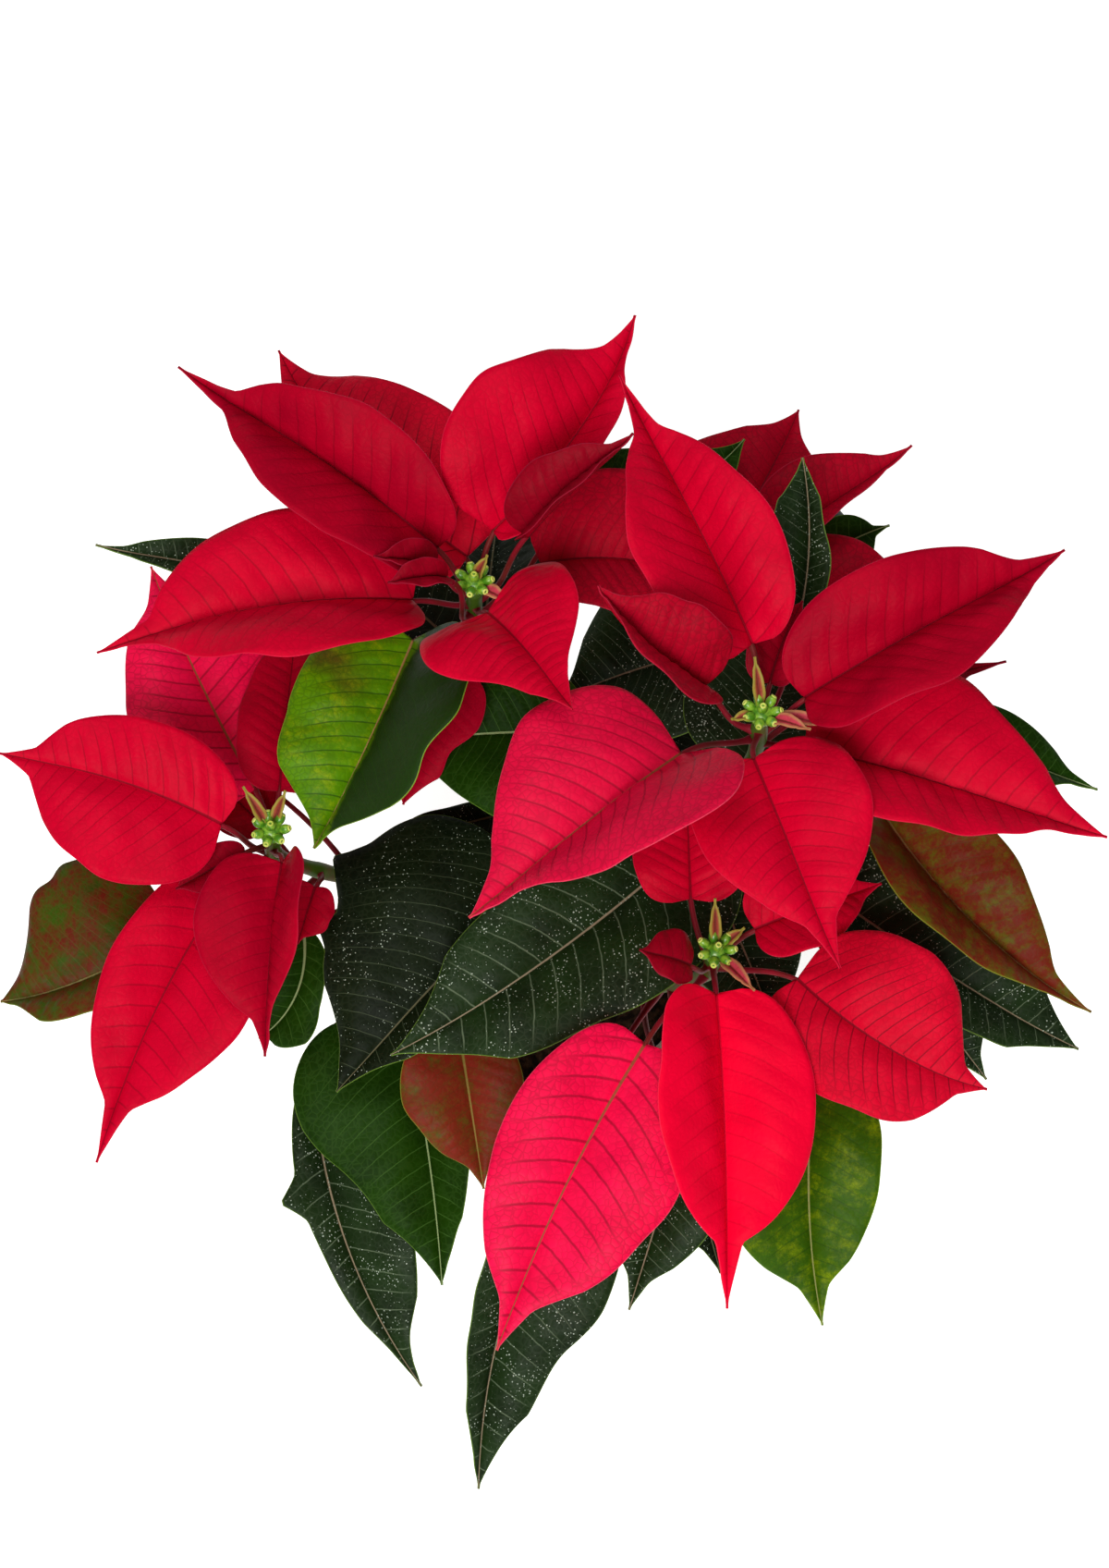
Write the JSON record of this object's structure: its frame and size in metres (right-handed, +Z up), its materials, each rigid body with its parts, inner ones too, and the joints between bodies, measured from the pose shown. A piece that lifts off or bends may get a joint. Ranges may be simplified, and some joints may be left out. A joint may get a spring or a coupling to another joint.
{
  "type": "potted poinsettia",
  "caption": "Flowering poinsettia in a plain round pot: layered heads of pointed red bracts round small green flowers, above lobed dark green leaves on branching stems.",
  "frame": {"origin": "on the floor under the middle of the pot's foot", "axes": "X to the plant's right, Y to its back, Z up"},
  "size_m": [0.4083, 0.4056, 0.3765],
  "materials": {
    "pot_glaze": "satin",
    "soil_earth": "matte",
    "trunk_bark": "matte",
    "leaf_green": "satin",
    "bract_red": "satin",
    "flower_green": "satin"
  },
  "bodies": {
    "root": {"pot": "pot_glaze", "soil": "soil_earth", "trunk": "trunk_bark", "leafy_stem_a": "leaf_green", "flowers_a": "flower_green", "leafy_stem_b": "leaf_green", "flowers_b": "flower_green", "leafy_stem_c": "leaf_green", "flowers_c": "flower_green", "leafy_stem_d": "leaf_green", "flowers_d": "flower_green", "leafy_stem_e": "leaf_green", "flowers_e": "flower_green", "bract_a1_rear_left": "bract_red", "bract_a2_left": "bract_red", "bract_a3_rear": "bract_red", "bract_a4_upright": "bract_red", "bract_a5_front": "bract_red", "bract_a6_dark": "bract_red", "bract_a10_folded": "bract_red", "bract_a7_far_rear": "bract_red", "bract_a8_right": "bract_red", "bract_a9_lower": "bract_red", "bract_b1_rear_left": "bract_red", "bract_b2_right": "bract_red", "bract_b3_folded": "bract_red", "bract_b4_left": "bract_red", "bract_b5_front": "bract_red", "bract_b6_right": "bract_red", "bract_b7_far_right": "bract_red", "bract_b8_dark": "bract_red", "bract_c1_left": "bract_red", "bract_c2_front_left": "bract_red", "bract_c3_front": "bract_red", "bract_c4_rear_left": "bract_red", "bract_c5_upright": "bract_red", "bract_c6_small": "bract_red", "bract_c7_lower": "bract_red", "bract_c8_rear": "bract_red", "bract_d1_front": "bract_red", "bract_d2_front_left": "bract_red", "bract_d3_right": "bract_red", "bract_d4_small": "bract_red", "bract_d5_rear": "bract_red", "bract_d6_rear_right": "bract_red", "bract_e1_rear": "bract_red", "bract_e2_right": "bract_red", "bract_e3_front_right": "bract_red", "bract_e4_rear_left": "bract_red", "bract_e5_front": "bract_red"}
  },
  "joints": []
}
